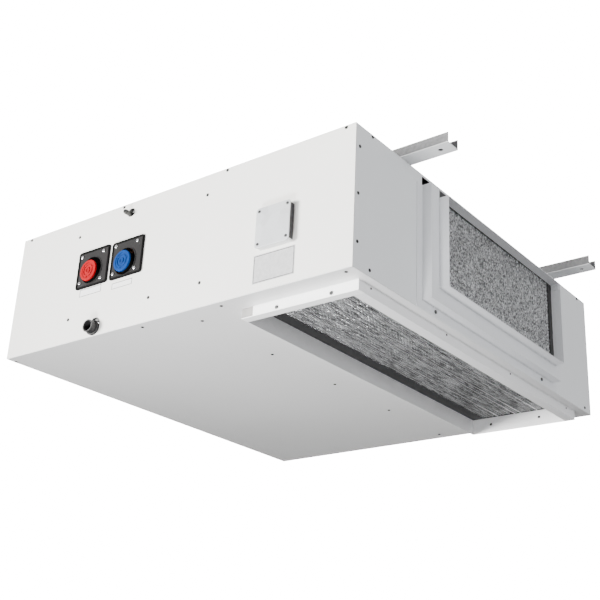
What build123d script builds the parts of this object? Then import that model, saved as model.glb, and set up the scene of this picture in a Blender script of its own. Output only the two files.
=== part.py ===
from build123d import *
import math
import os

os.makedirs("parts", exist_ok=True)

# Ducted fan coil unit, millimetres, +Z up. The origin is the centre of the four hanger holes,
# at the plane where the hanger channels lie on the casing. +X points to the return end,
# -X to the supply end, -Y to the side with the water connections.

# Driving dimensions
L = 800.0  # casing length along X
XE = L / 2
YN, YF = -419.5, 434.5  # pipe side and far side faces
YC = (YN + YF) / 2
W = YF - YN
H = 250.0  # casing height
T = 1.2  # sheet
FL = 15.0  # folded joining flanges
RIV_R, RIV_H = 2.9, 1.1  # blind rivet head
# bottom return collar: outer faces of its four rails, and how far it hangs down
BX0, BX1, BY0, BY1 = 151.0, 383.0, -377.5, 392.5
BDROP, BUP = 18.0, 14.0
BLIP = 16.0
# rear stepped return collar
RBY0, RBY1, RBZ = -224.0, 255.5, -232.75  # outer step
RDY0, RDY1, RDZ, RDT = -199.75, 231.75, -208.25, -41.0  # spigot
RSTEP1, RSTEP2 = 19.0, 37.5
RTOP = -22.25
# hanger channels
CH_Y, CH_W, CH_H, CH_L, CH_T = 273.5, 32.0, 19.0, 978.0, 1.5
HANG_X, HANG_R = 466.0, 4.5
# water side
RED_X, RED_Z, BLUE_X, BLUE_Z = -186.5, -118.5, -98.0, -121.0
CAP_R = 20.5
# drain
DR_X, DR_Z, DR_R = -161.5, -234.5, 11.75
# coil
CX0, CX1, CY0, CY1, CZ0, CZ1 = -175.0, -109.0, -349.5, 374.5, -210.0, -10.0
TUBE_R, TUBE_PX, TUBE_PZ = 4.76, 22.0, 25.0
# blowers
AX, AZ = 215.0, -118.0  # shaft axis
WHEEL_R, WHEEL_W, SCROLL_W = 70.0, 200.0, 225.0
DECK_X = 90.0
BLOW_Y = (-200.0, 215.0)  # middles of the two blowers
MOT_Y = 7.5
SHAFT_R = 6.0


def slab(x0, x1, y0, y1, z0, z1, mode=Mode.ADD):
    """A straight leg of sheet or block between two corners, in the part being built."""
    with Locations(((x0 + x1) / 2, (y0 + y1) / 2, (z0 + z1) / 2)):
        Box(x1 - x0, y1 - y0, z1 - z0, mode=mode)


def rod_y(x, z, r, y0, y1, mode=Mode.ADD):
    """A round bar along Y."""
    with Locations(Location((x, (y0 + y1) / 2, z), (90, 0, 0))):
        Cylinder(r, y1 - y0, mode=mode)


def rod_x(y, z, r, x0, x1, mode=Mode.ADD):
    """A round bar along X."""
    with Locations(Location(((x0 + x1) / 2, y, z), (0, 90, 0))):
        Cylinder(r, x1 - x0, mode=mode)


def rod_z(x, y, r, z0, z1, mode=Mode.ADD):
    """A round bar along Z."""
    with Locations((x, y, (z0 + z1) / 2)):
        Cylinder(r, z1 - z0, mode=mode)


PIPE_FACE = Plane.XZ.offset(-YN)  # outer face of the pipe side, normal -Y

# ---------------------------------------------------------------- casing shells
with BuildPart() as bottom_panel:
    with BuildSketch(Plane.XY.offset(-H)):
        with Locations((0, YC)):
            Rectangle(L, W)
        with Locations(((BX0 + BX1) / 2, (BY0 + BY1) / 2)):
            Rectangle(BX1 - BX0, BY1 - BY0, mode=Mode.SUBTRACT)
    extrude(amount=T)
    fillet(bottom_panel.faces().sort_by(Axis.Z)[0].outer_wire().edges(), 1.0)
bottom_panel.part.label = "bottom_panel"
export_step(bottom_panel.part, "parts/bottom_panel.step")

with BuildPart() as top_panel:
    with BuildSketch(Plane.XY.offset(-T)):
        with Locations((0, YC)):
            Rectangle(L, W)
    extrude(amount=T)
    fillet(top_panel.faces().sort_by(Axis.Z)[-1].outer_wire().edges(), 1.0)
top_panel.part.label = "top_panel"
export_step(top_panel.part, "parts/top_panel.step")

with BuildPart() as side_panel_pipe:
    with BuildSketch(PIPE_FACE):
        with Locations((0, -H / 2)):
            Rectangle(L, H - 2 * T)
        with Locations((-185, -116), (-97, -120)):
            Circle(28, mode=Mode.SUBTRACT)
        with Locations((-97, -21)):
            RectangleRounded(18, 16.5, 7.5, mode=Mode.SUBTRACT)
        with Locations((-160, -231)):
            RectangleRounded(28, 33, 13.5, mode=Mode.SUBTRACT)
        with Locations((250, -144)):
            Circle(9, mode=Mode.SUBTRACT)
    extrude(amount=-T)
    slab(-380, 380, YN + T, YN + T + FL, -H + T, -H + 2 * T)
    slab(-380, 380, YN + T, YN + T + FL, -2 * T, -T)
    # the lower flange is open round the drain
    slab(-176, -146, YN + T, YN + T + FL + 1, -H + T - 0.1, -H + 2 * T + 0.1, mode=Mode.SUBTRACT)
side_panel_pipe.part.label = "side_panel_pipe"
export_step(side_panel_pipe.part, "parts/side_panel_pipe.step")

with BuildPart() as side_panel_far:
    slab(-XE, XE, YF - T, YF, -H + T, -T)
    slab(-380, 380, YF - T - FL, YF - T, -H + T, -H + 2 * T)
    slab(-380, 380, YF - T - FL, YF - T, -2 * T, -T)
side_panel_far.part.label = "side_panel_far"
export_step(side_panel_far.part, "parts/side_panel_far.step")

with BuildPart() as return_end_panel:
    slab(XE - T, XE, YN + T, YF - T, -H + T, -T)
    slab(XE - 10, XE + 10, RBY0, RBY1, RBZ, -5, mode=Mode.SUBTRACT)
    slab(XE - T - FL, XE - T, YN + T, YN + 2 * T, -H + 4, -4)
    slab(XE - T - FL, XE - T, YF - 2 * T, YF - T, -H + 4, -4)
return_end_panel.part.label = "return_end_panel"
export_step(return_end_panel.part, "parts/return_end_panel.step")

SY0, SY1, SZ0, SZ1 = -370.0, 385.0, -213.0, -33.0  # supply outlet
with BuildPart() as supply_end_panel:
    slab(-XE, -XE + T, YN + T, YF - T, -H + T, -T)
    slab(-XE - 10, -XE + 10, SY0, SY1, SZ0, SZ1, mode=Mode.SUBTRACT)
    slab(-XE + T, -XE + T + FL, YN + T, YN + 2 * T, -H + 4, -4)
    slab(-XE + T, -XE + T + FL, YF - 2 * T, YF - T, -H + 4, -4)
supply_end_panel.part.label = "supply_end_panel"
export_step(supply_end_panel.part, "parts/supply_end_panel.step")

with BuildPart() as supply_spigot:
    with BuildSketch(Plane.YZ.offset(-XE - 1.2)):
        with Locations(((SY0 + SY1) / 2, (SZ0 + SZ1) / 2)):
            Rectangle(SY1 - SY0 + 30, SZ1 - SZ0 + 26)
            Rectangle(SY1 - SY0 - 2.4, SZ1 - SZ0 - 2.4, mode=Mode.SUBTRACT)
    extrude(amount=1.2)
    with BuildSketch(Plane.YZ.offset(-XE - 28)):
        with Locations(((SY0 + SY1) / 2, (SZ0 + SZ1) / 2)):
            Rectangle(SY1 - SY0, SZ1 - SZ0)
            Rectangle(SY1 - SY0 - 2.4, SZ1 - SZ0 - 2.4, mode=Mode.SUBTRACT)
    extrude(amount=28)
supply_spigot.part.label = "supply_spigot"
export_step(supply_spigot.part, "parts/supply_spigot.step")

# ---------------------------------------------------------------- rear return collar
X1, X2 = XE + RSTEP1, XE + RSTEP2
for name, yb, yd, s in (("rear_jamb_near", RBY0, RDY0, 1), ("rear_jamb_far", RBY1, RDY1, -1)):
    with BuildPart() as jamb:
        a, b = sorted((yb - s * 16.7, yb))
        slab(XE, XE + T, a, b, RBZ, RTOP)  # flange on the end panel
        a, b = sorted((yb, yb + s * T))
        slab(XE, X1 - T, a, b, RBZ + T, RTOP)  # outer wall
        a, b = sorted((yb, yd + s * T))
        slab(X1 - T, X1, a, b, RDZ + T, RTOP)  # face of the step
        a, b = sorted((yd, yd + s * T))
        slab(X1 - T, X2, a, b, RDZ + T, RDT)  # spigot wall
    jamb.part.label = name
    export_step(jamb.part, "parts/" + name + ".step")

with BuildPart() as rear_sill:
    slab(XE, XE + T, RBY0 - 16.7, RBY1 + 16.7, RBZ - 16.2, RBZ)
    slab(XE, X1, RBY0, RBY1, RBZ, RBZ + T)
    slab(X1 - T, X1, RBY0, RBY1, RBZ, RDZ + T)
    slab(X1 - T, X2, RDY0, RDY1, RDZ, RDZ + T)
rear_sill.part.label = "rear_sill"
export_step(rear_sill.part, "parts/rear_sill.step")

with BuildPart() as rear_top_rail:
    slab(X1 + 0.2, X2, RDY0 + T, RDY1 - T, RDT - T, RDT)
    slab(X1 + 0.2, X2 - 3, RDY0 + T, RDY0 + 2 * T, RDT - 12, RDT - T)
    slab(X1 + 0.2, X2 - 3, RDY1 - 2 * T, RDY1 - T, RDT - 12, RDT - T)
rear_top_rail.part.label = "rear_top_rail"
export_step(rear_top_rail.part, "parts/rear_top_rail.step")

FY0, FY1, FZ0, FZ1 = RBY0 + T + 0.4, RBY1 - T - 0.4, RBZ + T + 0.2, -24.0
MY0, MY1, MZ0, MZ1 = -186.5, 218.0, -200.0, -40.3
with BuildPart() as rear_filter_frame:
    with BuildSketch(Plane.YZ.offset(404.5)):
        with Locations(((FY0 + FY1) / 2, (FZ0 + FZ1) / 2)):
            Rectangle(FY1 - FY0, FZ1 - FZ0)
        with Locations(((MY0 + MY1) / 2, (MZ0 + MZ1) / 2)):
            Rectangle(MY1 - MY0, MZ1 - MZ0, mode=Mode.SUBTRACT)
    extrude(amount=13.0)
    # pull tab
    slab(409, 412, -10, 40, FZ1, FZ1 + 4)
rear_filter_frame.part.label = "rear_filter_frame"
export_step(rear_filter_frame.part, "parts/rear_filter_frame.step")

with BuildPart() as rear_filter_mesh:
    slab(415.0, 416.2, MY0, MY1, MZ0, MZ1)
rear_filter_mesh.part.label = "rear_filter_mesh"
export_step(rear_filter_mesh.part, "parts/rear_filter_mesh.step")

# ---------------------------------------------------------------- bottom return collar
ZB = -H - BDROP
with BuildPart() as bottom_rail_near:
    slab(BX0 + 24, BX1, BY0, BY0 + T, ZB, -H)
    slab(BX0, BX1, BY0, BY0 + T, -H, -H + BUP)
    slab(BX0, BX1, BY0, BY0 + BLIP, ZB, ZB + T)
    slab(BX0, BX1, BY0 - 12, BY0, -H + T, -H + 2 * T)  # fixing flange on the panel
bottom_rail_near.part.label = "bottom_rail_near"
export_step(bottom_rail_near.part, "parts/bottom_rail_near.step")

with BuildPart() as bottom_rail_far:
    slab(BX0, BX1, BY1 - T, BY1, ZB, -H + BUP)
    slab(BX0, BX1, BY1, BY1 + 12, -H + T, -H + 2 * T)
bottom_rail_far.part.label = "bottom_rail_far"
export_step(bottom_rail_far.part, "parts/bottom_rail_far.step")

with BuildPart() as bottom_rail_supply_side:
    slab(BX0, BX0 + T, BY0 + T, BY1 - T, ZB + T, -H + BUP)
    slab(BX0, BX0 + T, BY0 + BLIP, BY1 - T, ZB, ZB + T)
    slab(BX0 - 12, BX0, BY0, BY1, -H + T, -H + 2 * T)
bottom_rail_supply_side.part.label = "bottom_rail_supply_side"
export_step(bottom_rail_supply_side.part, "parts/bottom_rail_supply_side.step")

with BuildPart() as bottom_rail_return_side:
    slab(BX1 - T, BX1, BY0 + T, BY1 - T, ZB + T, -H + BUP)
    slab(BX1 - 20, BX1, BY0 + BLIP, BY1 - T, ZB, ZB + T)
    slab(BX1, BX1 + 12, BY0, BY1, -H + T, -H + 2 * T)
bottom_rail_return_side.part.label = "bottom_rail_return_side"
export_step(bottom_rail_return_side.part, "parts/bottom_rail_return_side.step")

BMX0, BMX1, BMY0, BMY1 = 178.0, 380.0, -374.5, 388.5
with BuildPart() as bottom_filter_frame:
    with BuildSketch(Plane.XY.offset(-H + BUP)):
        with Locations(((BX0 + BX1) / 2, (BY0 + BY1) / 2)):
            Rectangle(BX1 - BX0 + 4, BY1 - BY0 + 4)
        with Locations(((BMX0 + BMX1) / 2, (BMY0 + BMY1) / 2)):
            Rectangle(BMX1 - BMX0, BMY1 - BMY0, mode=Mode.SUBTRACT)
    extrude(amount=8)
bottom_filter_frame.part.label = "bottom_filter_frame"
export_step(bottom_filter_frame.part, "parts/bottom_filter_frame.step")

with BuildPart() as bottom_filter_mesh:
    slab(BMX0, BMX1, BMY0, BMY1, -H + BUP + 0.2, -H + BUP + 1.4)
bottom_filter_mesh.part.label = "bottom_filter_mesh"
export_step(bottom_filter_mesh.part, "parts/bottom_filter_mesh.step")

# ---------------------------------------------------------------- hanger channels
for name, y in (("hanger_channel_near", -CH_Y), ("hanger_channel_far", CH_Y)):
    with BuildPart() as channel:
        with BuildSketch(Plane.XY):
            with Locations((0, y)):
                Rectangle(CH_L, CH_W)
            with Locations((-HANG_X, y), (HANG_X, y)):
                Circle(HANG_R, mode=Mode.SUBTRACT)
        extrude(amount=CH_T)
        slab(-CH_L / 2, CH_L / 2, y - CH_W / 2, y - CH_W / 2 + CH_T, 0, CH_H)
        slab(-CH_L / 2, CH_L / 2, y + CH_W / 2 - CH_T, y + CH_W / 2, 0, CH_H)
    channel.part.label = name
    export_step(channel.part, "parts/" + name + ".step")

# ---------------------------------------------------------------- water side fittings
PT = 2.0
for name, cx, cz, w, h, hx, hz in (
    ("pipe_plate_red", -182, -111.5, 82, 75, -185, -116),
    ("pipe_plate_blue", -93.5, -113, 81, 74, -97, -120),
):
    with BuildPart() as plate:
        with BuildSketch(PIPE_FACE):
            with Locations((cx, cz)):
                RectangleRounded(w, h, 5)
            with Locations((hx, hz)):
                Circle(26, mode=Mode.SUBTRACT)
        extrude(amount=PT)
        with BuildSketch(PIPE_FACE.offset(PT)):
            with Locations((hx, hz)):
                Circle(27.6)
                Circle(26, mode=Mode.SUBTRACT)
        extrude(amount=1.0)
    plate.part.label = name
    export_step(plate.part, "parts/" + name + ".step")

PLATE_SCREWS = [(-214, -84), (-157, -84), (-158, -138), (-213.5, -137), (-124, -84.5), (-69.5, -86), (-71, -139), (-125, -139)]
with BuildPart() as plate_screws:
    for x, z in PLATE_SCREWS:
        rod_y(x, z, 3.4, YN - PT - 2.0, YN - PT)
    fillet(plate_screws.faces().sort_by(Axis.Y)[:8].edges(), 1.1)
    for x, z in PLATE_SCREWS:
        slab(x - 1.9, x + 1.9, YN - PT - 2.1, YN - PT - 1.3, z - 0.35, z + 0.35, mode=Mode.SUBTRACT)
        slab(x - 0.35, x + 0.35, YN - PT - 2.1, YN - PT - 1.3, z - 1.9, z + 1.9, mode=Mode.SUBTRACT)
        rod_y(x, z, 1.6, YN - PT, YN + 0.9)
plate_screws.part.label = "plate_screws"
export_step(plate_screws.part, "parts/plate_screws.step")

for name, x, z in (("red_cap", RED_X, RED_Z), ("blue_cap", BLUE_X, BLUE_Z)):
    with BuildPart() as cap:
        rod_y(x, z, CAP_R, YN - 9.8, YN - 6.3)
        fillet(cap.faces().sort_by(Axis.Y)[0].edges(), 1.2)
        # plug that enters the union
        rod_y(x, z, 14.5, YN - 6.3, YN)
        rod_y(x, z, 13.0, YN - 6.3, YN + 1, mode=Mode.SUBTRACT)
        # dished middle of the end face
        rod_y(x, z, 15.5, YN - 10, YN - 8.9, mode=Mode.SUBTRACT)
    cap.part.label = name
    export_step(cap.part, "parts/" + name + ".step")

HY = -368.0  # header axis
for name, x, z in (("water_union_red", RED_X, RED_Z), ("water_union_blue", BLUE_X, BLUE_Z)):
    with BuildPart() as union:
        rod_y(x, z, 20, YN - 6.2, YN + 26)
        with BuildSketch(Plane.XZ.offset(-(YN + 20))):
            with Locations((x, z)):
                RegularPolygon(23, 6)
        extrude(amount=-14)
        rod_y(x, z, 15, YN - 7, YN + 14, mode=Mode.SUBTRACT)
        rod_y(x, z, 11.05, YN, YN + 40, mode=Mode.SUBTRACT)
    union.part.label = name
    export_step(union.part, "parts/" + name + ".step")

COLS = [CX0 + 11 + TUBE_PX * i for i in range(3)]
ROWS = [CZ0 + 12.5 + TUBE_PZ * i for i in range(8)]
TY0, TY1 = -355.0, 380.0
with BuildPart() as header_red:
    rod_z(RED_X, HY, 13, RED_Z - 13, -13)
    rod_y(RED_X, RED_Z, 11, YN + 16, HY)
    rod_x(HY, ROWS[7], TUBE_R, RED_X, COLS[0])
    with Locations((COLS[0], HY, ROWS[7])):
        Sphere(TUBE_R)
    rod_y(COLS[0], ROWS[7], TUBE_R, HY, TY0)
header_red.part.label = "header_red"
export_step(header_red.part, "parts/header_red.step")

with BuildPart() as header_blue:
    rod_z(BLUE_X, HY, 13, ROWS[0] - 8, -40)
    rod_y(BLUE_X, BLUE_Z, 11, YN + 16, HY)
    rod_x(HY, ROWS[0], TUBE_R, COLS[2], BLUE_X)
    with Locations((COLS[2], HY, ROWS[0])):
        Sphere(TUBE_R)
    rod_y(COLS[2], ROWS[0], TUBE_R, HY, TY0)
header_blue.part.label = "header_blue"
export_step(header_blue.part, "parts/header_blue.step")

with BuildPart() as coil_fins:
    slab(CX0, CX1, CY0, CY1, CZ0, CZ1)
    for cx in COLS:
        for cz in ROWS:
            rod_y(cx, cz, TUBE_R + 0.05, CY0 - 1, CY1 + 1, mode=Mode.SUBTRACT)
coil_fins.part.label = "coil_fins"
export_step(coil_fins.part, "parts/coil_fins.step")

with BuildPart() as coil_tubes:
    for cx in COLS:
        for cz in ROWS:
            rod_y(cx, cz, TUBE_R, TY0, TY1)
coil_tubes.part.label = "coil_tubes"
export_step(coil_tubes.part, "parts/coil_tubes.step")

with BuildPart() as coil_end_plates:
    for y0, y1 in ((CY0 - 1.5, CY0), (CY1, CY1 + 1.5)):
        slab(CX0 - 6, CX1 + 6, y0, y1, -245.9, -6)
        for cx in COLS:
            for cz in ROWS:
                rod_y(cx, cz, TUBE_R + 0.05, y0 - 1, y1 + 1, mode=Mode.SUBTRACT)
coil_end_plates.part.label = "coil_end_plates"
export_step(coil_end_plates.part, "parts/coil_end_plates.step")

with BuildPart() as return_bends:
    # far side: rows joined in pairs, each a half ring standing in the YZ plane
    for cx in COLS:
        for i in (0, 2, 4, 6):
            with BuildSketch(Plane.XZ.offset(-TY1)):
                with Locations((cx, ROWS[i])):
                    Circle(TUBE_R)
            revolve(axis=Axis((cx, TY1, ROWS[i] + TUBE_PZ / 2), (1, 0, 0)), revolution_arc=180)
        for i in (1, 3, 5):
            with BuildSketch(Plane.XZ.offset(-TY0)):
                with Locations((cx, ROWS[i])):
                    Circle(TUBE_R)
            revolve(axis=Axis((cx, TY0, ROWS[i] + TUBE_PZ / 2), (-1, 0, 0)), revolution_arc=180)
    # crossovers between columns on the pipe side
    for cx, cz in ((COLS[0], ROWS[0]), (COLS[1], ROWS[7])):
        with BuildSketch(Plane.XZ.offset(-TY0)):
            with Locations((cx, cz)):
                Circle(TUBE_R)
        revolve(axis=Axis((cx + TUBE_PX / 2, TY0, cz), (0, 0, 1)), revolution_arc=180)
return_bends.part.label = "return_bends"
export_step(return_bends.part, "parts/return_bends.step")

VX, VZ = -99.0, -24.0
with BuildPart() as air_vent_body:
    rod_z(BLUE_X, HY, 8, -40, -13)
    rod_y(VX, VZ, 4.6, YN - 12, HY)
    rod_y(VX, VZ, 5.0, YN - 3, YN + 6)
    rod_y(VX, VZ, 2.5, YN - 13, YN - 8, mode=Mode.SUBTRACT)
air_vent_body.part.label = "air_vent_body"
export_step(air_vent_body.part, "parts/air_vent_body.step")

with BuildPart() as bleed_screw:
    rod_y(VX, VZ, 3.6, YN - 15.5, YN - 12.2)
    fillet(bleed_screw.faces().sort_by(Axis.Y)[0].edges(), 0.6)
    rod_y(VX, VZ, 2.45, YN - 12.2, YN - 8.3)
    slab(VX - 4, VX + 4, YN - 16, YN - 14.4, VZ - 0.5, VZ + 0.5, mode=Mode.SUBTRACT)
bleed_screw.part.label = "bleed_screw"
export_step(bleed_screw.part, "parts/bleed_screw.step")

PX0, PX1, PY0, PY1, PZ0, PZ1 = -240.0, -40.0, -402.0, 418.0, -247.5, -217.0
with BuildPart() as drain_pan:
    slab(PX0, PX1, PY0, PY1, PZ0, PZ1)
    slab(PX0 + 1.5, PX1 - 1.5, PY0 + 1.5, PY1 - 1.5, PZ0 + 1.5, PZ1 + 5, mode=Mode.SUBTRACT)
    rod_y(DR_X, DR_Z, 9.75, PY0 - 1, PY0 + 2, mode=Mode.SUBTRACT)
drain_pan.part.label = "drain_pan"
export_step(drain_pan.part, "parts/drain_pan.step")

with BuildPart() as drain_spout:
    rod_y(DR_X, DR_Z, DR_R, YN - 15, PY0)
    rod_y(DR_X, DR_Z, 14.0, YN - 4.5, YN - 0.3)
    rod_y(DR_X, DR_Z, 13.0, PY0 - 5, PY0)
    rod_y(DR_X, DR_Z, 9.75, YN - 16, PY0 + 1, mode=Mode.SUBTRACT)
drain_spout.part.label = "drain_spout"
export_step(drain_spout.part, "parts/drain_spout.step")

# ---------------------------------------------------------------- fan deck and blowers
OZ0, OZ1 = -110.0, -15.2  # discharge slot in the deck
with BuildPart() as fan_deck:
    slab(DECK_X, DECK_X + T, YN + T, YF - T, -247.4, -2.6)
    for by in BLOW_Y:
        slab(DECK_X - 5, DECK_X + 5, by - SCROLL_W / 2 + T, by + SCROLL_W / 2 - T, OZ0, OZ1, mode=Mode.SUBTRACT)
fan_deck.part.label = "fan_deck"
export_step(fan_deck.part, "parts/fan_deck.step")


def volute(inset):
    """Points of the volute, from its tongue round under the wheel to the top of the outlet."""
    points = []
    for i in range(14):
        phi = math.radians(190 + 260 * i / 13)
        r = 76 + 28 * i / 13 - inset
        points.append((AX + r * math.cos(phi), AZ + r * math.sin(phi)))
    return points


for name, by in (("scroll_near", BLOW_Y[0]), ("scroll_far", BLOW_Y[1])):
    outer, inner = volute(0), volute(T)
    with BuildPart() as scroll:
        with BuildSketch(Plane.XZ.offset(-(by - SCROLL_W / 2))):
            with BuildLine():
                Spline(*outer)
                Polyline(outer[-1], (DECK_X + T, outer[-1][1]), (DECK_X + T, -112), outer[0])
            make_face()
        extrude(amount=-SCROLL_W)
        with BuildSketch(Plane.XZ.offset(-(by - SCROLL_W / 2 + T))):
            with BuildLine():
                Spline(*inner)
                Polyline(inner[-1], (DECK_X - 5, inner[-1][1]), (DECK_X - 5, -110), (inner[0][0], inner[0][1] + 1.4), inner[0])
            make_face()
        extrude(amount=-(SCROLL_W - 2 * T), mode=Mode.SUBTRACT)
        rod_y(AX, AZ, 57, by - SCROLL_W, by + SCROLL_W, mode=Mode.SUBTRACT)
    scroll.part.label = name
    export_step(scroll.part, "parts/" + name + ".step")

for name, by in (("impeller_near", BLOW_Y[0]), ("impeller_far", BLOW_Y[1])):
    with BuildPart() as wheel:
        with BuildSketch(Plane.XZ.offset(-(by - WHEEL_W / 2))):
            with Locations((AX, AZ)):
                with PolarLocations(63.5, 36):
                    Rectangle(11.5, 0.9, rotation=38)
        extrude(amount=-WHEEL_W)
        for y0, y1 in ((by - WHEEL_W / 2, by - WHEEL_W / 2 + 4), (by + WHEEL_W / 2 - 4, by + WHEEL_W / 2)):
            rod_y(AX, AZ, WHEEL_R, y0, y1)
            rod_y(AX, AZ, 61.5, y0 - 0.5, y1 + 0.5, mode=Mode.SUBTRACT)
        rod_y(AX, AZ, 68.5, by - 1.2, by + 1.2)
        rod_y(AX, AZ, 14, by - 14, by + 14)
        rod_y(AX, AZ, SHAFT_R, by - 20, by + 20, mode=Mode.SUBTRACT)
    wheel.part.label = name
    export_step(wheel.part, "parts/" + name + ".step")

with BuildPart() as motor_shaft:
    rod_y(AX, AZ, SHAFT_R, BLOW_Y[0] - 20, BLOW_Y[1] + 20)
    chamfer(motor_shaft.edges(), 0.8)
motor_shaft.part.label = "motor_shaft"
export_step(motor_shaft.part, "parts/motor_shaft.step")

with BuildPart() as motor_body:
    rod_y(AX, AZ, 50, MOT_Y - 50, MOT_Y + 50)
    fillet(motor_body.edges(), 5)
    rod_y(AX, AZ, 24, MOT_Y - 60, MOT_Y + 60)
    rod_y(AX, AZ, 11, MOT_Y - 61, MOT_Y + 61, mode=Mode.SUBTRACT)
motor_body.part.label = "motor_body"
export_step(motor_body.part, "parts/motor_body.step")

with BuildPart() as motor_bearings:
    for y0, y1 in ((MOT_Y - 60, MOT_Y - 52), (MOT_Y + 52, MOT_Y + 60)):
        rod_y(AX, AZ, 11, y0, y1)
        rod_y(AX, AZ, SHAFT_R + 0.05, y0 - 1, y1 + 1, mode=Mode.SUBTRACT)
motor_bearings.part.label = "motor_bearings"
export_step(motor_bearings.part, "parts/motor_bearings.step")

RING_Y = (MOT_Y - 32, MOT_Y + 32)
with BuildPart() as rubber_rings:
    for y in RING_Y:
        rod_y(AX, AZ, 54, y - 5, y + 5)
        rod_y(AX, AZ, 50, y - 6, y + 6, mode=Mode.SUBTRACT)
rubber_rings.part.label = "rubber_rings"
export_step(rubber_rings.part, "parts/rubber_rings.step")

with BuildPart() as motor_cradle:
    slab(DECK_X + T, AX + 62, MOT_Y - 42, MOT_Y + 42, AZ - 62, AZ - 60)
    slab(DECK_X + T, DECK_X + 2 * T, MOT_Y - 42, MOT_Y + 42, AZ - 95, AZ - 60)
    for y in RING_Y:
        slab(AX - 62, AX + 62, y - 3, y + 3, AZ - 60, AZ)
    for y in RING_Y:
        rod_y(AX, AZ, 54, y - 10, y + 10, mode=Mode.SUBTRACT)
motor_cradle.part.label = "motor_cradle"
export_step(motor_cradle.part, "parts/motor_cradle.step")

with BuildPart() as motor_clamps:
    for y in RING_Y:
        rod_y(AX, AZ, 55.5, y - 3, y + 3)
        rod_y(AX, AZ, 54, y - 4, y + 4, mode=Mode.SUBTRACT)
        slab(AX - 70, AX + 70, y - 5, y + 5, AZ - 70, AZ, mode=Mode.SUBTRACT)
        slab(AX - 62, AX - 54.4, y - 3, y + 3, AZ, AZ + 1.5)
        slab(AX + 54.4, AX + 62, y - 3, y + 3, AZ, AZ + 1.5)
motor_clamps.part.label = "motor_clamps"
export_step(motor_clamps.part, "parts/motor_clamps.step")

with BuildPart() as capacitor:
    rod_z(DECK_X + T + 16, -372, 16, -205, -140)
    fillet(capacitor.edges().filter_by(GeomType.CIRCLE), 2)
    slab(DECK_X + T + 10, DECK_X + T + 12, -374, -370, -140, -133)
    slab(DECK_X + T + 20, DECK_X + T + 22, -374, -370, -140, -133)
capacitor.part.label = "capacitor"
export_step(capacitor.part, "parts/capacitor.step")

# ---------------------------------------------------------------- electrical box
JX0, JX1, JZ0, JZ1, JD = 215.5, 285.0, -180.0, -108.5, 12.0
with BuildPart() as junction_box_base:
    slab(JX0 + 1, JX1 - 1, YN - JD + 1.2, YN, JZ0 + 1, JZ1 - 1)
    fillet(junction_box_base.edges().filter_by(Axis.Y), 4.5)
    slab(JX0 + 2.2, JX1 - 2.2, YN - JD, YN - 1, JZ0 + 2.2, JZ1 - 2.2, mode=Mode.SUBTRACT)
    rod_y(250, -144, 9, YN - 2, YN + 1, mode=Mode.SUBTRACT)
    rod_z(250, YN - 5.4, 4.0, JZ1 - 8, JZ1 + 1, mode=Mode.SUBTRACT)
    for x, z in ((222, -115), (279.5, -115), (279.3, -172.5), (222, -173.5)):
        rod_y(x, z, 3.2, YN - JD + 1.2, YN - 1)
junction_box_base.part.label = "junction_box_base"
export_step(junction_box_base.part, "parts/junction_box_base.step")

with BuildPart() as junction_box_cover:
    with BuildSketch(PIPE_FACE.offset(JD - 1.2)):
        with Locations(((JX0 + JX1) / 2, (JZ0 + JZ1) / 2)):
            RectangleRounded(JX1 - JX0, JZ1 - JZ0, 5.5)
    extrude(amount=1.2)
    fillet(junction_box_cover.faces().sort_by(Axis.Y)[0].edges(), 0.6)
junction_box_cover.part.label = "junction_box_cover"
export_step(junction_box_cover.part, "parts/junction_box_cover.step")

COVER_SCREWS = ((222, -115), (279.5, -115), (279.3, -172.5), (222, -173.5))
with BuildPart() as cover_screws:
    for x, z in COVER_SCREWS:
        rod_y(x, z, 2.6, YN - JD - 1.3, YN - JD)
    fillet(cover_screws.faces().sort_by(Axis.Y)[:4].edges(), 0.7)
    for x, z in COVER_SCREWS:
        slab(x - 1.5, x + 1.5, YN - JD - 1.4, YN - JD - 0.7, z - 0.3, z + 0.3, mode=Mode.SUBTRACT)
        slab(x - 0.3, x + 0.3, YN - JD - 1.4, YN - JD - 0.7, z - 1.5, z + 1.5, mode=Mode.SUBTRACT)
        rod_y(x, z, 1.5, YN - JD, YN - JD + 6)
cover_screws.part.label = "cover_screws"
export_step(cover_screws.part, "parts/cover_screws.step")

with BuildPart() as terminal_block:
    slab(228, 272, YN - 8.5, YN - 1, -132, -122)
    for i in range(5):
        rod_y(232.5 + 8.75 * i, -127, 2.4, YN - 9, YN - 6, mode=Mode.SUBTRACT)
terminal_block.part.label = "terminal_block"
export_step(terminal_block.part, "parts/terminal_block.step")

CAB_R = 3.5
with BuildPart() as cable_grommets:
    rod_y(250, -144, 9, YN - 0.9, YN + 1.2)
    rod_y(250, -144, 11, YN + 1.2, YN + 3)
    rod_y(250, -144, CAB_R, YN - 3, YN + 5, mode=Mode.SUBTRACT)
    rod_z(250, YN - 5.4, 4.0, JZ1 - 2.2, JZ1 - 1)
    rod_z(250, YN - 5.4, 4.9, JZ1 - 1, JZ1 + 0.8)
    rod_z(250, YN - 5.4, 3.0, JZ1 - 5, JZ1 + 5, mode=Mode.SUBTRACT)
cable_grommets.part.label = "cable_grommets"
export_step(cable_grommets.part, "parts/cable_grommets.step")

ROUTE = [(250, YN - 2, -144), (250, -395, -144), (262, -362, -146), (318, -338, -152), (346, -290, -156),
         (348, -225, -153), (346, -155, -156), (347, -95, -151), (334, -38, -138), (300, 0, -124), (265.8, MOT_Y, AZ)]


def corner_radii(points):
    """As large an arc at each corner as its two runs allow."""
    radii = []
    for a, b, c in zip(points, points[1:], points[2:]):
        u, v = Vector(*b) - Vector(*a), Vector(*c) - Vector(*b)
        half = math.radians(u.get_angle(v)) / 2
        radii.append(0.45 * min(u.length, v.length) / math.tan(half))
    return radii


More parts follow.
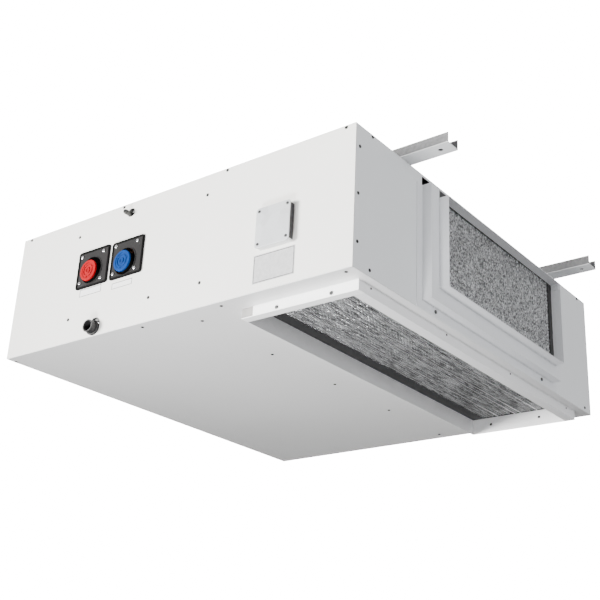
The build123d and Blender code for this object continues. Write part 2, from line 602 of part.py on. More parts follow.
print("cable bend radii", [round(r) for r in corner_radii(ROUTE)])
with BuildPart() as motor_cable:
    with BuildLine() as cable_path:
        FilletPolyline(*ROUTE, radius=corner_radii(ROUTE))
    with BuildSketch(Plane(origin=ROUTE[0], z_dir=(0, 1, 0))):
        Circle(CAB_R)
    sweep()
motor_cable.part.label = "motor_cable"
export_step(motor_cable.part, "parts/motor_cable.step")
print("cable volume", motor_cable.part.volume, "section times length", math.pi * CAB_R**2 * sum(e.length for e in cable_path.line.edges()))

# ---------------------------------------------------------------- lining, fasteners and labels
with BuildPart() as insulation:
    slab(-396, 88, YN + 18, YF - 18, -5.4, -T)
    slab(-380, 88, YF - T - 5, YF - T, -245, -8)
insulation.part.label = "insulation"
export_step(insulation.part, "parts/insulation.step")

SIDE_RIVETS = [(-232.5, -36.25), (-234.25, -203.75), (-28.75, -205), (91.25, -40.25), (90, -205),
               (-378, -4.5), (-118, -4.5), (133, -4.5), (381, -4.5)]
BOTTOM_RIVETS = [(-395, -400.5), (-51, -404.5), (130.5, -405.5), (381, -408), (59, -372.5), (59, -183), (59, 11.5), (59, 203.5), (59, 406.5)]
RETURN_RIVETS = [(-373.5, -4.5), (-408, -39.25), (-409.5, -122.5), (-408.5, -204.5), (-374, -239), (405.5, -241.5), (396.5, -4.5)]
CHANNEL_RIVETS = [(x, y) for y in (-CH_Y, CH_Y) for x in (-360, -120, 120, 360)]
SILL_SCREWS = [(-183.5, -240), (206, -240.5)]
with BuildPart() as blind_rivets:
    for x, z in SIDE_RIVETS:
        rod_y(x, z, RIV_R, YN - RIV_H, YN)
    fillet(blind_rivets.faces().sort_by(Axis.Y)[: len(SIDE_RIVETS)].edges(), 0.9)
    for x, y in BOTTOM_RIVETS:
        rod_z(x, y, RIV_R, -H - RIV_H, -H)
    fillet(blind_rivets.faces().sort_by(Axis.Z)[: len(BOTTOM_RIVETS)].edges(), 0.9)
    for y, z in RETURN_RIVETS:
        rod_x(y, z, RIV_R, XE, XE + RIV_H)
    fillet(blind_rivets.faces().sort_by(Axis.X)[-len(RETURN_RIVETS):].edges(), 0.9)
    for x, y in CHANNEL_RIVETS:
        rod_z(x, y, RIV_R, CH_T, CH_T + RIV_H)
    fillet(blind_rivets.faces().sort_by(Axis.Z)[-len(CHANNEL_RIVETS):].edges(), 0.9)
    # shanks, driven into the sheet
    for x, z in SIDE_RIVETS:
        rod_y(x, z, 1.6, YN, YN + 1.0)
    for x, y in BOTTOM_RIVETS:
        rod_z(x, y, 1.6, -H, -H + 1.0)
    for y, z in RETURN_RIVETS:
        rod_x(y, z, 1.6, XE - 1.0, XE)
    for x, y in CHANNEL_RIVETS:
        rod_z(x, y, 1.6, -1.0, CH_T)
blind_rivets.part.label = "blind_rivets"
export_step(blind_rivets.part, "parts/blind_rivets.step")

with BuildPart() as collar_screws:
    for y, z in SILL_SCREWS:
        rod_x(y, z, 3.4, XE + T, XE + T + 1.8)
    for x in (224.7, 332.3):
        rod_y(x, -262.6, 3.2, BY0 - 1.6, BY0)
    for x in (195, 305.5):
        rod_y(x, -251, 2.6, BY1 - T - 1.2, BY1 - T)
    for y in (-344.5, -116.5, 113.5, 352.5):
        rod_x(y, -254.3, 1.9, BX1, BX1 + 0.9)
    chamfer(collar_screws.edges().filter_by(GeomType.CIRCLE).filter_by(lambda e: e.radius > 1.8), 0.4)
collar_screws.part.label = "collar_screws"
export_step(collar_screws.part, "parts/collar_screws.step")

with BuildPart() as blank_labels:
    with BuildSketch(PIPE_FACE):
        with Locations((248, -210.5)):
            Rectangle(84, 50)
        with Locations((-183, -157.5)):
            RectangleRounded(56, 14, 1)
        with Locations((-100.5, -162.5)):
            RectangleRounded(51, 11.5, 1)
    extrude(amount=0.25)
blank_labels.part.label = "blank_labels"
export_step(blank_labels.part, "parts/blank_labels.step")
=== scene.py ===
import bpy, bmesh, math, random
from mathutils import Matrix, Vector


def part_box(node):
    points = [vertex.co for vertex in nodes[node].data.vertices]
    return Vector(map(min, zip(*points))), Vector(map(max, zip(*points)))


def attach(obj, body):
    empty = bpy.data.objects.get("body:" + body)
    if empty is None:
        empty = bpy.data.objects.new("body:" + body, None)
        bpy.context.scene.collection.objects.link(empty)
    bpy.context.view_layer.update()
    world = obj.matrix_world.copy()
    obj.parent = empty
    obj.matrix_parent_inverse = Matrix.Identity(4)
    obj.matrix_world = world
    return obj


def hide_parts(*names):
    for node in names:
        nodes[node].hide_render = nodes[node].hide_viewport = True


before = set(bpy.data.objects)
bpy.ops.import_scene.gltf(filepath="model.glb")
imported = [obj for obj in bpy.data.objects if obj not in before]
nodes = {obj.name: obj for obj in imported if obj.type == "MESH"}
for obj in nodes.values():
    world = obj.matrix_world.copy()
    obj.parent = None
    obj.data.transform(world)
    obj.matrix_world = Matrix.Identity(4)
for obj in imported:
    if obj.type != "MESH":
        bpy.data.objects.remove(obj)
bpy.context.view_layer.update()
random.seed(11)

# ------------------------------------------------------------------ camera, from below the pipe side
right, up, fwd = (0.79383, 0.60644, 0.04540), (0.20340, -0.33513, 0.91996), (-0.57311, 0.72106, 0.38938)
cam_data = bpy.data.cameras.new("camera")
cam_data.sensor_width = 36.0
cam_data.lens = 65.16
cam_data.clip_end = 100.0
cam = bpy.data.objects.new("camera", cam_data)
bpy.context.scene.collection.objects.link(cam)
cam.matrix_world = Matrix(((right[0], up[0], -fwd[0], 1.24885), (right[1], up[1], -fwd[1], -1.60730),
                           (right[2], up[2], -fwd[2], -0.92470), (0, 0, 0, 1)))
bpy.context.scene.camera = cam

# ------------------------------------------------------------------ studio light
world = bpy.data.worlds.new("studio")
bpy.context.scene.world = world
world.use_nodes = True
wt = world.node_tree
wt.nodes.clear()
co = wt.nodes.new("ShaderNodeTexCoord")
dot = wt.nodes.new("ShaderNodeVectorMath"); dot.operation = "DOT_PRODUCT"
dot.inputs[1].default_value = (0.27, 0.0, 0.40)
wt.links.new(co.outputs["Generated"], dot.inputs[0])
add = wt.nodes.new("ShaderNodeMath"); add.operation = "ADD"; add.inputs[1].default_value = 0.52
wt.links.new(dot.outputs["Value"], add.inputs[0])
bg = wt.nodes.new("ShaderNodeBackground")
bg.inputs["Color"].default_value = (0.985, 0.99, 1.0, 1)
wt.links.new(add.outputs[0], bg.inputs["Strength"])
bg2 = wt.nodes.new("ShaderNodeBackground")
bg2.inputs["Color"].default_value = (1, 1, 1, 1)
bg2.inputs["Strength"].default_value = 18.0
lp = wt.nodes.new("ShaderNodeLightPath")
mix = wt.nodes.new("ShaderNodeMixShader")
wt.links.new(lp.outputs["Is Camera Ray"], mix.inputs[0])
wt.links.new(bg.outputs[0], mix.inputs[1])
wt.links.new(bg2.outputs[0], mix.inputs[2])
out = wt.nodes.new("ShaderNodeOutputWorld")
wt.links.new(mix.outputs[0], out.inputs[0])


def area(name, at, to, size, power, color=(1, 1, 1)):
    d = bpy.data.lights.new(name, "AREA")
    d.shape = "DISK"; d.size = size; d.energy = power; d.color = color
    o = bpy.data.objects.new(name, d)
    bpy.context.scene.collection.objects.link(o)
    o.location = at
    o.rotation_euler = (Vector(to) - Vector(at)).to_track_quat("-Z", "Y").to_euler()


spot_data = bpy.data.lights.new("under", "SPOT")
spot_data.energy = 520; spot_data.spot_size = math.radians(48); spot_data.spot_blend = 1.0; spot_data.shadow_soft_size = 0.35
spot = bpy.data.objects.new("under", spot_data)
bpy.context.scene.collection.objects.link(spot)
spot.location = (0.08, -1.9, -2.3)
spot.rotation_euler = (Vector((0.12, -0.8, -0.25)) - Vector(spot.location)).to_track_quat("-Z", "Y").to_euler()
area("end", (2.2, -0.5, -0.35), (0.4, 0.05, -0.12), 1.0, 17, (0.97, 0.985, 1.0))
sun_data = bpy.data.lights.new("key", "SUN")
sun_data.energy = 14.5
sun_data.angle = math.radians(24)
sun_data.color = (1.0, 0.993, 0.975)
sun = bpy.data.objects.new("key", sun_data)
bpy.context.scene.collection.objects.link(sun)
sun.rotation_euler = Vector((0.60, 0.75, 0.09)).to_track_quat("-Z", "Y").to_euler()

# plain pale floor, far under the hanging unit
bm = bmesh.new()
bmesh.ops.create_grid(bm, x_segments=1, y_segments=1, size=14)
fm = bpy.data.meshes.new("floor"); bm.to_mesh(fm); bm.free()
floor = bpy.data.objects.new("floor", fm)
bpy.context.scene.collection.objects.link(floor)
floor.location = (0, 0, -4.0)


# ------------------------------------------------------------------ materials
def base_mat(name, rough, metal=0.0, spec=0.5, coat=0.0):
    m = bpy.data.materials.new(name)
    m.use_nodes = True
    t = m.node_tree
    p = next(n for n in t.nodes if n.type == "BSDF_PRINCIPLED")
    p.inputs["Roughness"].default_value = rough
    p.inputs["Metallic"].default_value = metal
    p.inputs["Specular IOR Level"].default_value = spec
    p.inputs["Coat Weight"].default_value = coat
    c = t.nodes.new("ShaderNodeTexCoord")
    return m, t, p, c.outputs["Object"]


def noise(t, vec, scale, detail=3.0, stretch=None):
    if stretch:
        mp = t.nodes.new("ShaderNodeMapping")
        mp.inputs["Scale"].default_value = stretch
        t.links.new(vec, mp.inputs[0]); vec = mp.outputs[0]
    n = t.nodes.new("ShaderNodeTexNoise")
    n.inputs["Scale"].default_value = scale
    n.inputs["Detail"].default_value = detail
    t.links.new(vec, n.inputs["Vector"])
    return n.outputs["Fac"]


def ramp(t, fac, stops):
    r = t.nodes.new("ShaderNodeValToRGB")
    e = r.color_ramp.elements
    while len(e) < len(stops):
        e.new(0.5)
    for el, (pos, col) in zip(e, stops):
        el.position = pos; el.color = (*col, 1)
    t.links.new(fac, r.inputs[0])
    return r.outputs["Color"]


def bump(t, p, height, strength, dist):
    b = t.nodes.new("ShaderNodeBump")
    b.inputs["Strength"].default_value = strength
    b.inputs["Distance"].default_value = dist
    t.links.new(height, b.inputs["Height"])
    t.links.new(b.outputs[0], p.inputs["Normal"])


def vary(col, k):
    return tuple(max(0, min(1, c * k)) for c in col)


def paint(name, col, rough=0.38, second_tone_cut=None, liner_film_and_painted_shade=((0.012, 0.012, 0.013), (0.035, 0.035, 0.037))):
    """Powder coat: faint tone drift, orange peel; second_tone_cut=(axis, side, place) gives what lies past it the
    colours liner_film_and_painted_shade: black foam liner inside the casing panels, a grey film on the rating plate,
    painted shade on the hanger channel flanges and on the junction box's +X side.
    """
    m, t, p, v = base_mat(name, rough, spec=0.4)
    c = ramp(t, noise(t, v, 3.5, 4), [(0.3, vary(col, 0.975)), (0.7, vary(col, 1.015))])
    if second_tone_cut:
        axis, side, place = second_tone_cut
        s = t.nodes.new("ShaderNodeSeparateXYZ"); t.links.new(v, s.inputs[0])
        g = t.nodes.new("ShaderNodeMath")
        g.operation = "GREATER_THAN" if side > 0 else "LESS_THAN"
        g.inputs[1].default_value = place
        t.links.new(s.outputs["XYZ".index(axis)], g.inputs[0])
        # second tone: black foam liner on the panels, grey film on the rating plate, painted shade on the hanger
        # channels and the junction box
        foam = ramp(t, noise(t, v, 220, 2), [(0.3, liner_film_and_painted_shade[0]), (0.7, liner_film_and_painted_shade[1])])
        mx = t.nodes.new("ShaderNodeMix"); mx.data_type = "RGBA"
        t.links.new(g.outputs[0], mx.inputs["Factor"])
        t.links.new(c, mx.inputs["A"]); t.links.new(foam, mx.inputs["B"])
        c = mx.outputs["Result"]
    t.links.new(c, p.inputs["Base Color"])
    bump(t, p, noise(t, v, 420, 2), 0.06, 0.0004)
    return m


def galv(name, col, rough=0.42, metal=0.75, spangle=90):
    m, t, p, v = base_mat(name, rough, metal)
    vo = t.nodes.new("ShaderNodeTexVoronoi"); vo.inputs["Scale"].default_value = spangle
    t.links.new(v, vo.inputs["Vector"])
    bw = t.nodes.new("ShaderNodeRGBToBW"); t.links.new(vo.outputs["Color"], bw.inputs[0])
    t.links.new(ramp(t, bw.outputs[0], [(0.1, vary(col, 0.9)), (0.9, vary(col, 1.08))]), p.inputs["Base Color"])
    bump(t, p, noise(t, v, 900, 2, (1, 1, 0.2)), 0.08, 0.0003)
    return m


def plastic(name, col, rough=0.35, grain=600, strength=0.15, spec=0.5):
    m, t, p, v = base_mat(name, rough, spec=spec)
    t.links.new(ramp(t, noise(t, v, 60, 4), [(0.3, vary(col, 0.88)), (0.7, vary(col, 1.1))]), p.inputs["Base Color"])
    bump(t, p, noise(t, v, grain, 2), strength, 0.0003)
    return m


def metal(name, col, rough=0.3, stretch=(1, 1, 12)):
    m, t, p, v = base_mat(name, rough, 1.0)
    f = noise(t, v, 700, 3, stretch)
    t.links.new(ramp(t, f, [(0.3, vary(col, 0.85)), (0.7, vary(col, 1.1))]), p.inputs["Base Color"])
    bump(t, p, f, 0.12, 0.0002)
    return m


def finned(name, col):
    m, t, p, v = base_mat(name, 0.4, 0.8)
    w = t.nodes.new("ShaderNodeTexWave"); w.bands_direction = "Y"
    w.inputs["Scale"].default_value = 160; w.inputs["Distortion"].default_value = 0.3
    t.links.new(v, w.inputs["Vector"])
    t.links.new(ramp(t, w.outputs["Fac"], [(0.2, vary(col, 0.12)), (0.7, col)]), p.inputs["Base Color"])
    bump(t, p, w.outputs["Fac"], 0.8, 0.0012)
    return m


WHITE = (0.80, 0.79, 0.765)
# casing white made cooler and darker for the return end: painted shade
SHADE_TINTED_WHITE = (0.77, 0.785, 0.80)
GREY = (0.60, 0.615, 0.64)
M = {
    # bottom panel: the casing white made greyer, painted shade of its downward face; its inside gets the black foam
    # liner
    "bottom": paint("bottom_shaded_copy", (0.74, 0.74, 0.74), second_tone_cut=("Z", 1, -0.24895)),
    "top": paint("top_paint", WHITE, second_tone_cut=("Z", -1, -0.00105)),
    "pipe": paint("pipe_side_paint", (0.83, 0.82, 0.79), second_tone_cut=("Y", 1, -0.41835)),
    "far": paint("far_side_paint", (0.80, 0.79, 0.77), second_tone_cut=("Y", -1, 0.43335)),
    # return end panel: painted shade in its cooler, darker white; its inside gets the black foam liner
    "ret": paint("return_end_shaded_tint", SHADE_TINTED_WHITE, second_tone_cut=("X", -1, 0.39885)),
    "sup": paint("supply_end_paint", WHITE, second_tone_cut=("X", 1, -0.39885)),
    "collar": paint("collar_paint", (0.74, 0.75, 0.77), 0.42),
    "rail": paint("rail_paint", (0.84, 0.84, 0.85), 0.4),
    # near rail: the rail paint made brighter, painted light for the near rail's lit face
    "near_rail": paint("near_rail_lit_copy", (0.97, 0.97, 0.97), 0.35),
    # hanger channels: dark grey above Z 0.0016 m, on the flanges, is painted shade
    "channel": paint("channel_galv_painted_shade", (0.70, 0.71, 0.72), 0.45, ("Z", 1, 0.0016), ((0.15, 0.15, 0.152), (0.20, 0.20, 0.203))),
    "inner_galv": galv("inner_zinc", (0.42, 0.43, 0.45), 0.5),
    "spigot": galv("spigot_zinc", (0.62, 0.63, 0.65), 0.4),
    "cover": galv("cover_zinc", (0.50, 0.515, 0.53), 0.42, 0.25, 40),
    # junction box base: black past X 0.2838 m, on its +X side, is painted shade
    "box": paint("jbox_painted_shade", (0.66, 0.66, 0.66), second_tone_cut=("X", 1, 0.2838)),
    "rivet": metal("rivet_steel", (0.045, 0.045, 0.045), 0.5),
    "collar_screw": metal("collar_screw_steel", (0.10, 0.10, 0.10), 0.25),
    "screw": metal("screw_bright", (0.92, 0.92, 0.92), 0.22),
    "dark_screw": metal("screw_dark", (0.10, 0.10, 0.10), 0.4),
    "steel": metal("ground_steel", (0.7, 0.7, 0.71), 0.22),
    "black": plastic("frame_black", (0.015, 0.015, 0.016), 0.5),
    "plate": plastic("plate_anthracite", (0.0125, 0.0118, 0.0120), 0.6, 300, 0.25, 0.12),
    "red": plastic("cap_red", (0.30, 0.0, 0.004), 0.5, 250, 0.3, 0.08),
    "blue": plastic("cap_blue", (0.0, 0.030, 0.150), 0.5, 250, 0.3, 0.08),
    "brass": metal("brass", (0.55, 0.42, 0.2), 0.3),
    "vent": metal("vent_nickel", (0.07, 0.07, 0.07), 0.35),
    "rim": plastic("rim_black", (0.0035, 0.0035, 0.0035), 0.7, 300, 0.2, 0.06),
    # dark grey of the near rail's corner plate: painted shade
    "fold": plastic("fold_plate_painted_shade", (0.30, 0.295, 0.285), 0.6, 300, 0.05, 0.2),
    "backing": plastic("backing_grey", (0.20, 0.20, 0.198), 0.7, 300, 0.2, 0.2),
    "copper": metal("copper", (0.72, 0.36, 0.22), 0.3),
    "fins": finned("fin_stock", (0.66, 0.68, 0.70)),
    "rubber": plastic("rubber_black", (0.016, 0.016, 0.017), 0.55, 500, 0.3),
    "enamel": plastic("motor_enamel", (0.05, 0.055, 0.06), 0.35, 200, 0.2),
    "capacitor": plastic("capacitor_grey", (0.45, 0.45, 0.45), 0.4),
    "foam": plastic("foam_black", (0.02, 0.02, 0.021), 0.95, 260, 0.9, 0.1),
    "label": paint("blank_film", (0.86, 0.86, 0.86), 0.3, ("X", 1, 0.15), ((0.42, 0.42, 0.425), (0.50, 0.50, 0.505))),
    "ink": plastic("print_grey", (0.035, 0.035, 0.037), 0.6, 900, 0.05),
}
FINISH = {
    "bottom": ["bottom_panel"], "top": ["top_panel"], "pipe": ["side_panel_pipe"], "far": ["side_panel_far"],
    "ret": ["return_end_panel"], "sup": ["supply_end_panel"],
    "collar": ["rear_jamb_near", "rear_jamb_far", "rear_sill", "rear_top_rail"],
    "near_rail": ["bottom_rail_near"], "rail": ["bottom_rail_far", "bottom_rail_return_side", "bottom_rail_supply_side"],
    "channel": ["hanger_channel_near", "hanger_channel_far"], "spigot": ["supply_spigot"],
    "inner_galv": ["fan_deck", "scroll_near", "scroll_far", "coil_end_plates", "motor_cradle", "motor_clamps", "impeller_near", "impeller_far"],
    "cover": ["junction_box_cover"], "box": ["junction_box_base"], "rivet": ["blind_rivets"], "collar_screw": ["collar_screws"],
    "screw": ["plate_screws"], "dark_screw": ["cover_screws"], "steel": ["motor_shaft", "motor_bearings"],
    "black": ["rear_filter_frame", "bottom_filter_frame", "terminal_block", "drain_pan"],
    "plate": ["pipe_plate_red", "pipe_plate_blue"], "red": ["red_cap"], "blue": ["blue_cap"],
    "brass": [], "vent": ["air_vent_body", "bleed_screw"],
    "copper": ["header_red", "header_blue", "coil_tubes", "return_bends"], "fins": ["coil_fins"],
    "rubber": ["rubber_rings", "cable_grommets", "drain_spout", "motor_cable"], "rim": ["water_union_red", "water_union_blue"], "enamel": ["motor_body"],
    "capacitor": ["capacitor"], "foam": ["insulation"], "label": ["blank_labels"],
}
for key, names in FINISH.items():
    for n in names:
        o = nodes[n]
        if not o.material_slots:
            o.data.materials.append(M[key])
        for s in o.material_slots:
            s.material = M[key]
floor_mat = plastic("floor_pale", (0.36, 0.36, 0.36), 0.7, 8, 0.05)
floor.data.materials.append(floor_mat)


# ------------------------------------------------------------------ pieces
def piece(name, verts, faces, mat, body, smooth=False):
    me = bpy.data.meshes.new(name)
    me.from_pydata(verts, [], faces)
    me.validate(); me.update()
    if smooth:
        me.polygons.foreach_set("use_smooth", [True] * len(me.polygons))
    o = bpy.data.objects.new(name, me)
    bpy.context.scene.collection.objects.link(o)
    me.materials.append(mat)
    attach(o, body)
    return o


def wire(verts, faces, points, r, sides=3):
    """One closed bar through the points, of r, added to the lists."""
    n = len(points)
    start = len(verts)
    for i, p in enumerate(points):
        a = Vector(points[max(0, i - 1)]); b = Vector(points[min(n - 1, i + 1)])
        d = (b - a).normalized()
        u = d.cross(Vector((0.3, 0.2, 0.93)) if abs(d.z) < 0.8 else Vector((0.93, 0.2, 0.3))).normalized()
        w = d.cross(u)
        ri = r[i] if isinstance(r, list) else r
        for k in range(sides):
            q = 2 * math.pi * k / sides
            verts.append(tuple(Vector(p) + (u * math.cos(q) + w * math.sin(q)) * ri))
    for i in range(n - 1):
        for k in range(sides):
            a = start + i * sides + k; b = start + i * sides + (k + 1) % sides
            faces.append((a, b, b + sides, a + sides))
    faces.append(tuple(start + k for k in reversed(range(sides))))
    faces.append(tuple(start + (n - 1) * sides + k for k in range(sides)))


def net(name, place, lu, lv, pu, pv, mat, body, crimp, seed, r=0.00042, streak=0.3, jitter=0.2):
    """A crimped net: place(u, v, h) gives the point; wires run both ways, uneven as knitted wire is."""
    rnd = random.Random(seed)
    nu, nv = int(lu / pu), int(lv / pv)
    verts, faces = [], []
    for i in range(1, nu):
        k = rnd.uniform(1 - streak, 1 + streak); off = rnd.uniform(-1, 1) * streak * pu * 0.8
        wire(verts, faces, [place(i * lu / nu + off + rnd.uniform(-jitter, jitter) * pu, j * lv / nv, crimp * (1 if (i + j) % 2 else -1) * rnd.uniform(0.4, 1.2)) for j in range(nv + 1)],
             [r * k * rnd.uniform(1 - jitter, 1 + 1.6 * jitter) for j in range(nv + 1)])
    for j in range(1, nv):
        wire(verts, faces, [place(i * lu / nu, j * lv / nv + rnd.uniform(-jitter, jitter) * pv, -crimp * (1 if (i + j) % 2 else -1) * rnd.uniform(0.4, 1.2)) for i in range(nu + 1)],
             [r * rnd.uniform(1 - jitter, 1 + 1.6 * jitter) for i in range(nu + 1)])
    return piece(name, verts, faces, mat, body)


def media(name, lo, hi, mat, body, axis, amp, seed):
    """A pleated pad of filter media behind a net: a closed plate with a rippled front."""
    rnd = random.Random(seed)
    a, b = [i for i in range(3) if i != axis]
    na, nb = (60, 60)
    verts, faces = [], []
    for side in (0, 1):
        for i in range(na + 1):
            for j in range(nb + 1):
                p = [0, 0, 0]
                p[a] = lo[a] + (hi[a] - lo[a]) * i / na
                p[b] = lo[b] + (hi[b] - lo[b]) * j / nb
                p[axis] = (lo, hi)[side][axis] + (amp * rnd.uniform(-1, 1) if 0 < i < na and 0 < j < nb else 0)
                verts.append(tuple(p))
    n1 = (na + 1) * (nb + 1)
    q = lambda s, i, j: s * n1 + i * (nb + 1) + j
    for i in range(na):
        for j in range(nb):
            faces.append((q(0, i, j), q(0, i, j + 1), q(0, i + 1, j + 1), q(0, i + 1, j)))
            faces.append((q(1, i, j), q(1, i + 1, j), q(1, i + 1, j + 1), q(1, i, j + 1)))
    for i in range(na):
        faces.append((q(0, i, 0), q(0, i + 1, 0), q(1, i + 1, 0), q(1, i, 0)))
        faces.append((q(0, i, nb), q(1, i, nb), q(1, i + 1, nb), q(0, i + 1, nb)))
    for j in range(nb):
        faces.append((q(0, 0, j), q(1, 0, j), q(1, 0, j + 1), q(0, 0, j + 1)))
        faces.append((q(0, na, j), q(0, na, j + 1), q(1, na, j + 1), q(1, na, j)))
    me = piece(name, verts, faces, mat, body)
    bm = bmesh.new(); bm.from_mesh(me.data); bmesh.ops.recalc_face_normals(bm, faces=bm.faces); bm.to_mesh(me.data); bm.free()
    return me


def media_mat(name, stretch, dark, light, scale):
    m, t, p, v = base_mat(name, 0.7, 0.0)
    f = noise(t, v, scale, 4, stretch)
    c = ramp(t, f, [(0.42, dark), (0.60, light)])
    t.links.new(c, p.inputs["Base Color"])
    bump(t, p, f, 0.6, 0.001)
    return m


def net_mat(name, stretch, scale, dark, light):
    m, t, p, v = base_mat(name, 0.3, 0.7)
    f = noise(t, v, scale, 3, stretch)
    t.links.new(ramp(t, f, [(0.40, dark), (0.60, light)]), p.inputs["Base Color"])
    bump(t, p, f, 0.5, 0.0006)
    return m


alu = net_mat("net_streaked", (1.0, 0.10, 1.0), 440, (0.13, 0.13, 0.133), (0.70, 0.71, 0.72))
alu_r = net_mat("net_speckled", (1.0, 1.0, 0.7), 360, (0.20, 0.20, 0.205), (0.90, 0.91, 0.92))
bright = metal("stay_aluminium", (0.90, 0.90, 0.91), 0.4)
lo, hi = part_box("bottom_filter_mesh")
zb = -0.2352
bottom_net = net("bottom_filter_net", lambda u, v, h: (lo[0] + u, lo[1] + v, zb + h), hi[0] - lo[0], hi[1] - lo[1], 0.0029, 0.0048, alu, "bottom_filter", 0.0005, 3, 0.00033, 0.42, 0.18)
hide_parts("bottom_filter_mesh")
media_b = media("bottom_filter_media", (lo[0], lo[1], -0.2340), (hi[0], hi[1], -0.2320), media_mat("media_long", (1.0, 0.05, 1.0), (0.01, 0.01, 0.0105), (0.42, 0.42, 0.43), 330), "bottom_filter", 2, 0.0004, 5)
verts, faces = [], []
rnd = random.Random(8)
for x in (0.2135, 0.252, 0.2655, 0.3035, 0.331, 0.3655):
    wire(verts, faces, [(x + rnd.uniform(-.0006, .0006), lo[1] + (hi[1] - lo[1]) * i / 24, zb - 0.0009) for i in range(25)], 0.0008, 6)
stays_b = piece("bottom_filter_stays", verts, faces, bright, "bottom_filter")

rlo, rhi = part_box("rear_filter_mesh")
xr = 0.4157
rear_net = net("rear_filter_net", lambda u, v, h: (xr + h, rlo[1] + u, rlo[2] + v), rhi[1] - rlo[1], rhi[2] - rlo[2], 0.0034, 0.0034, alu_r, "rear_filter", 0.0007, 4, 0.00036, 0.12, 0.45)
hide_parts("rear_filter_mesh")
media_r = media("rear_filter_media", (0.4120, rlo[1], rlo[2]), (0.4142, rhi[1], rhi[2]), media_mat("media_speckle", (1, 1, 0.75), (0.05, 0.05, 0.051), (0.80, 0.80, 0.81), 260), "rear_filter", 0, 0.0004, 6)
verts, faces = [], []
for y in (0.090, 0.155, 0.163, 0.190, 0.2085):
    wire(verts, faces, [(xr + 0.0009, y + rnd.uniform(-.0005, .0005), rlo[2] + (rhi[2] - rlo[2]) * i / 12) for i in range(13)], 0.0007, 6)
stays_r = piece("rear_filter_stays", verts, faces, alu_r, "rear_filter")


def frame_strip(verts, faces, x0, x1, z0, z1, w, y0, y1):
    """A thin rectangular outline on the pipe side, from y0 out to y1."""
    for a, b, c, d in ((x0, x1, z1 - w, z1), (x0, x1, z0, z0 + w), (x0, x0 + w, z0 + w, z1 - w), (x1 - w, x1, z0 + w, z1 - w)):
        s = len(verts)
        verts += [(X, Y, Z) for X in (a, b) for Y in (y0, y1) for Z in (c, d)]
        faces += [(s, s + 1, s + 3, s + 2), (s + 4, s + 6, s + 7, s + 5), (s, s + 4, s + 5, s + 1), (s + 2, s + 3, s + 7, s + 6), (s, s + 2, s + 6, s + 4), (s + 1, s + 5, s + 7, s + 3)]


yl = -0.41975
verts, faces = [], []
frame_strip(verts, faces, -0.2110, -0.1550, -0.1645, -0.1505, 0.0010, yl, yl - 0.00008)
frame_strip(verts, faces, -0.1260, -0.0750, -0.16825, -0.15675, 0.0010, yl, yl - 0.00008)
frame_strip(verts, faces, 0.2075, 0.2885, -0.2340, -0.1870, 0.0011, yl, yl - 0.00008)
outline = piece("label_outlines", verts, faces, M["ink"], "casing")

# moulded rings and a centre boss in the dished middle of each cap
for nm, cx, cz, key, body, slot_name in (("red_cap_rings", -0.1865, -0.1185, "red", "red_cap_body", "cap_red"), ("blue_cap_rings", -0.098, -0.121, "blue", "blue_cap_body", "cap_blue")):
    verts, faces = [], []
    for rr, w in ((0.0045, 0.0011), (0.0112, 0.0009)):
        ring = [(cx + rr * math.cos(2 * math.pi * i / 32), -0.42885, cz + rr * math.sin(2 * math.pi * i / 32)) for i in range(33)]
        wire(verts, faces, ring, w, 8)
    for k in (0, 1, 2):
        q = math.radians(120 * k + 20)
        wire(verts, faces, [(cx + rr * math.cos(q), -0.42885, cz + rr * math.sin(q)) for rr in (0.0112, 0.0130, 0.0150)], 0.0008, 8)
    o = piece(nm, verts, faces, M[key], body, True)


def rounded(x0, x1, z0, z1, r, y, n=6):
    """Points of a rounded rectangle on the pipe side."""
    pts = []
    for cx, cz, q0 in ((x1 - r, z1 - r, 0), (x0 + r, z1 - r, 90), (x0 + r, z0 + r, 180), (x1 - r, z0 + r, 270)):
        for i in range(n + 1):
            q = math.radians(q0 + 90 * i / n)
            pts.append((cx + r * math.cos(q), y, cz + r * math.sin(q)))
    return pts + [pts[0]]


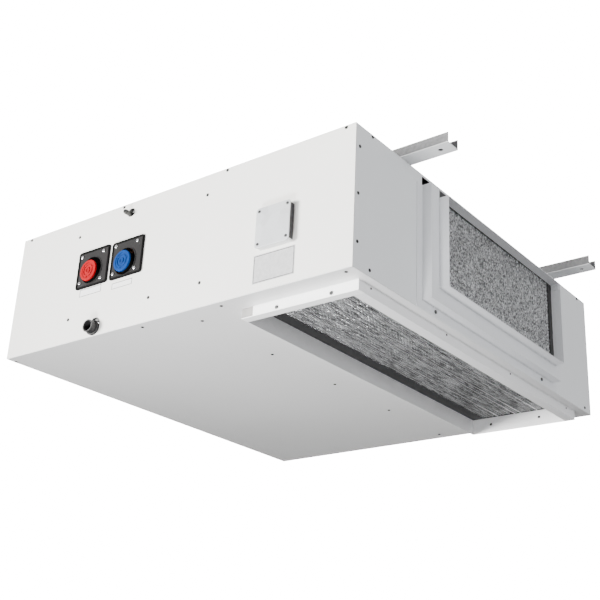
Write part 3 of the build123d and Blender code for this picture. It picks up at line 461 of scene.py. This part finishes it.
for nm, x0, x1, z0, z1 in (("red_plate_rim", -0.223, -0.141, -0.149, -0.074), ("blue_plate_rim", -0.134, -0.053, -0.150, -0.076)):
    verts, faces = [], []
    for inset, w in ((0.0012, 0.0014), (0.0031, 0.0011)):
        wire(verts, faces, rounded(x0 + inset, x1 - inset, z0 + inset, z1 - inset, 0.005 - inset * 0.6, -0.4215), w, 8)
    o = piece(nm, verts, faces, M["rim"], "casing", True)



def backing(name, cx, cz, r0, x0, x1, z0, z1, y0, y1):
    """A plate behind a cut-out of the pipe side, with a round hole for what passes through."""
    verts, faces = [], []
    n = 48
    for y in (y0, y1):
        for i in range(n):
            q = 2 * math.pi * i / n
            c, s_ = math.cos(q), math.sin(q)
            k = min([((x1 - cx) if c > 0 else (x0 - cx)) / c if abs(c) > 1e-6 else 9, ((z1 - cz) if s_ > 0 else (z0 - cz)) / s_ if abs(s_) > 1e-6 else 9])
            verts += [(cx + r0 * c, y, cz + r0 * s_), (cx + k * c, y, cz + k * s_)]
    for i in range(n):
        a, b = 2 * i, 2 * ((i + 1) % n)
        faces += [(a, b, b + 1, a + 1), (2 * n + a, 2 * n + a + 1, 2 * n + b + 1, 2 * n + b),
                  (a, 2 * n + a, 2 * n + b, b), (a + 1, b + 1, 2 * n + b + 1, 2 * n + a + 1)]
    o = piece(name, verts, faces, M["backing"], "casing")
    bm = bmesh.new(); bm.from_mesh(o.data); bmesh.ops.recalc_face_normals(bm, faces=bm.faces); bm.to_mesh(o.data); bm.free()


backing("drain_backing", -0.1615, -0.2345, 0.0126, -0.186, -0.134, -0.2470, -0.2060, -0.4150, -0.4142)
backing("vent_backing", -0.099, -0.024, 0.0053, -0.114, -0.084, -0.042, -0.006, -0.4130, -0.4122)

# the near rail's folded corner, closing the gap left of its lip; its dark grey is painted shade
verts = [(X, Y, Z) for X in (0.1513, 0.1747) for Y in (-0.3773, -0.3765) for Z in (-0.2667, -0.2502)]
corner = piece("rail_corner_fold", verts, [(0, 1, 3, 2), (4, 6, 7, 5), (0, 4, 5, 1), (2, 3, 7, 6), (0, 2, 6, 4), (1, 5, 7, 3)], M["fold"], "casing")
